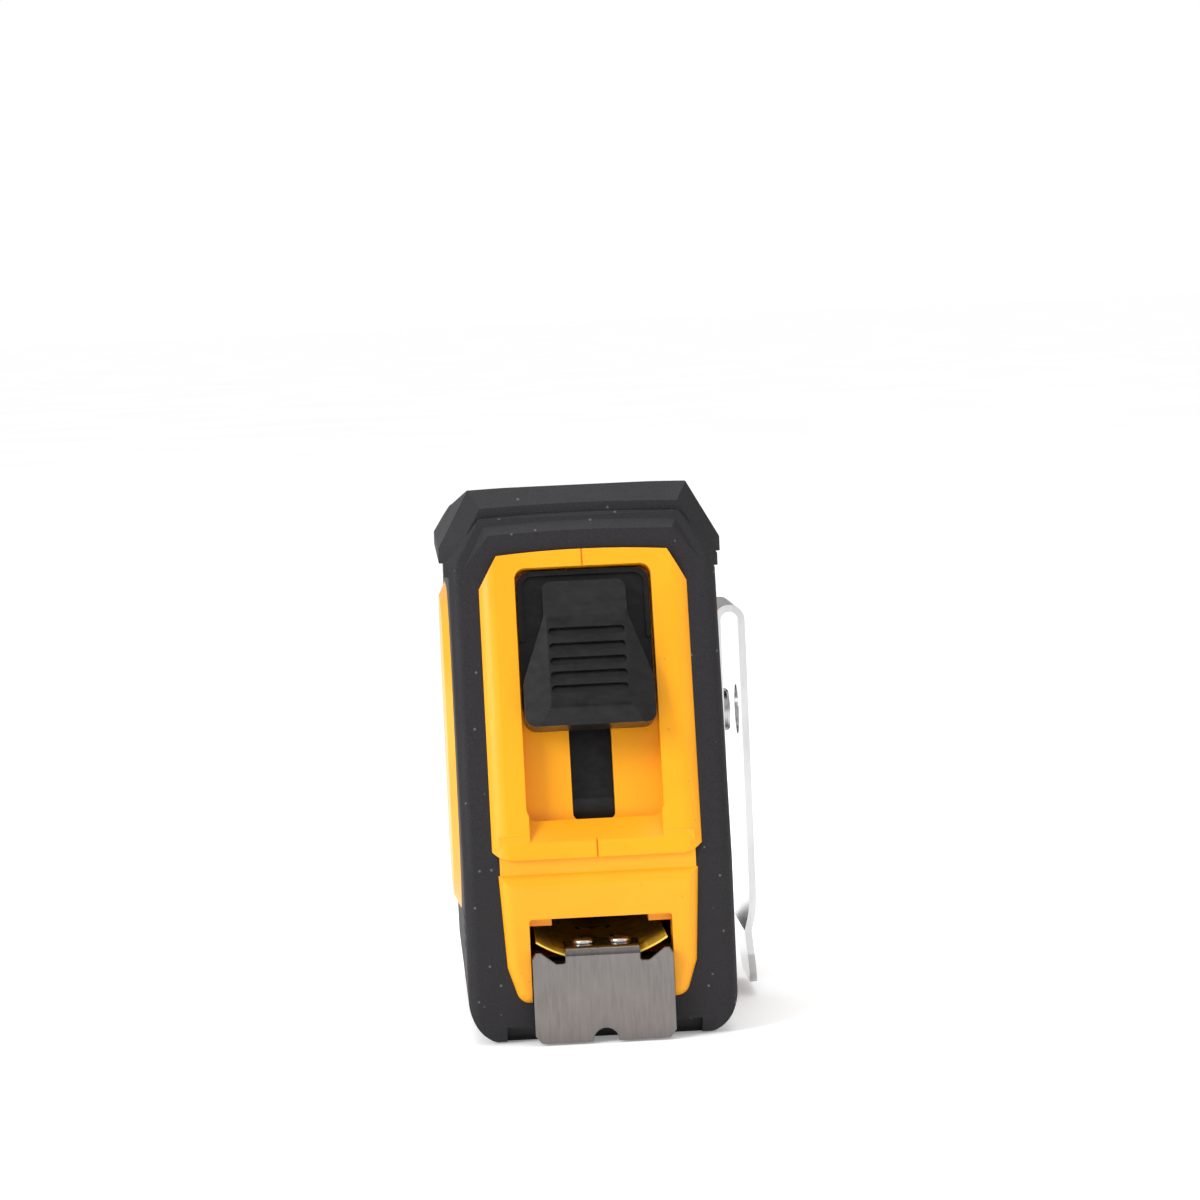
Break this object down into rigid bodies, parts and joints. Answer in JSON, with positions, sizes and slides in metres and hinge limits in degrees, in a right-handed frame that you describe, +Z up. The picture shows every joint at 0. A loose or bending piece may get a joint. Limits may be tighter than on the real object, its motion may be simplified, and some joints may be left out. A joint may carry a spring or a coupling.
{
  "type": "tape measure",
  "caption": "Pocket tape measure: two-part yellow case with black rubber grips, thumb lock, cupped steel blade with sliding end hook, reel and belt clip.",
  "frame": {"origin": "centre of the flat base that the case stands on", "axes": "+Z up, blade leaves towards -Y, belt clip on the +X side"},
  "size_m": [0.0432, 0.0725, 0.075],
  "materials": {
    "case_yellow": "satin-gloss moulded ABS",
    "rubber_black": "matte overmoulded rubber",
    "lock_black": "satin moulded plastic",
    "inner_black": "matte moulded plastic",
    "blade_yellow": "coated spring steel, printed scale",
    "hook_nickel": "satin nickel plate",
    "rivet_steel": "plain steel",
    "spring_steel": "blued spring steel",
    "clip_chrome": "bright chrome",
    "screw_steel": "zinc plated",
    "brass_post": "turned"
  },
  "bodies": {
    "case": {"case_left": "case_yellow", "case_right": "case_yellow", "grip_left": "rubber_black", "grip_right": "rubber_black", "centre_post": "brass_post", "thrust_washers": "rivet_steel", "case_screws": "screw_steel", "belt_clip": "clip_chrome", "clip_screw": "screw_steel", "mouth_bumper": "rubber_black", "detent_spring": "spring_steel"},
    "blade": {"blade_tongue": "blade_yellow", "hook_rivets": "rivet_steel"},
    "hook": {"end_hook": "hook_nickel"},
    "reel": {"reel_drum": "inner_black", "reel_lid": "inner_black", "blade_coil": "blade_yellow", "power_spring": "spring_steel"},
    "lock": {"lock_button": "lock_black", "lock_slide": "lock_black", "brake_pad": "rubber_black"}
  },
  "joints": [
    {"name": "blade_slide", "type": "slide", "parent": "case", "child": "blade", "axis": [0, -1, 0], "range_m": [0, 0.05], "stiffness_N_per_m": 20, "springref_m": -0.1},
    {"name": "hook_play", "type": "slide", "parent": "blade", "child": "hook", "axis": [0, -1, 0], "range_m": [0, 0.0009]},
    {"name": "reel_spin", "type": "hinge", "parent": "case", "child": "reel", "pos_m": [0, 0.003, 0.0405], "axis": [-1, 0, 0], "range_deg": [0, 112]},
    {"name": "lock_slide", "type": "slide", "parent": "case", "child": "lock", "axis": [0, -0.2164, -0.9763], "range_m": [0, 0.0095]}
  ],
  "couplings": [
    {"joint": "reel_spin", "follows": "blade_slide", "rad_per_m": 38.462}
  ]
}
